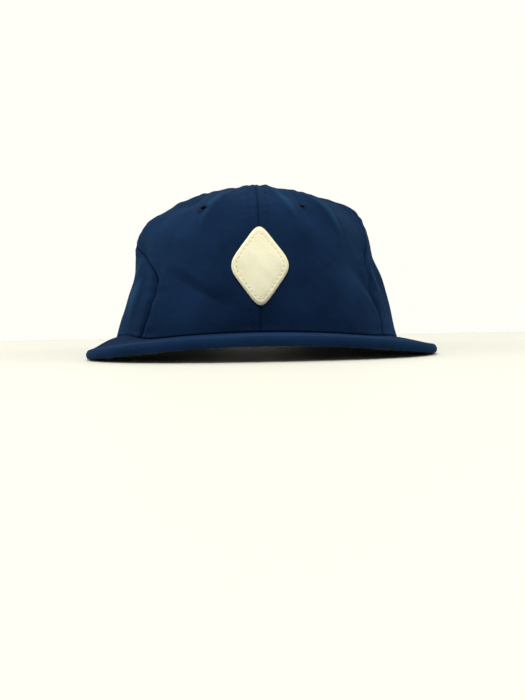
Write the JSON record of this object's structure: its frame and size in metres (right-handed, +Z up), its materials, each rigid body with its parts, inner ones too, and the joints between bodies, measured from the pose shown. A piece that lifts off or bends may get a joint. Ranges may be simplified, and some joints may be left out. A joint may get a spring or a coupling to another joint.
{
  "type": "six-panel cap",
  "caption": "Soft cloth cap of triangular panels with a flat visor, a felt diamond on the front, sewn eyelets, a covered button and a leather strap across an arch at the back.",
  "frame": {"origin": "under the middle of the cap's box, on the surface that it rests on", "axes": "+Z up, visor towards -Y, +X towards the viewer's right"},
  "size_m": [0.189, 0.2558, 0.1075],
  "materials": {
    "navy_cloth": "matt wool felted cloth",
    "navy_thread": "sewn thread",
    "green_grey_cloth": "smooth satin lining",
    "brown_leather": "smooth, dark",
    "cream_felt": "matt felt"
  },
  "bodies": {
    "root": {"panel_front_left": "navy_cloth", "panel_front_right": "navy_cloth", "panel_side_left": "navy_cloth", "panel_side_right": "navy_cloth", "panel_back_left": "navy_cloth", "panel_back_right": "navy_cloth", "eyelet_front_left": "navy_thread", "eyelet_front_right": "navy_thread", "eyelet_side_left": "navy_thread", "eyelet_side_right": "navy_thread", "eyelet_back_left": "navy_thread", "eyelet_back_right": "navy_thread", "visor": "navy_cloth", "visor_underside": "green_grey_cloth", "sweatband": "brown_leather", "back_strap": "brown_leather", "strap_tab": "navy_cloth", "front_patch": "cream_felt", "top_button": "navy_cloth"}
  },
  "joints": []
}
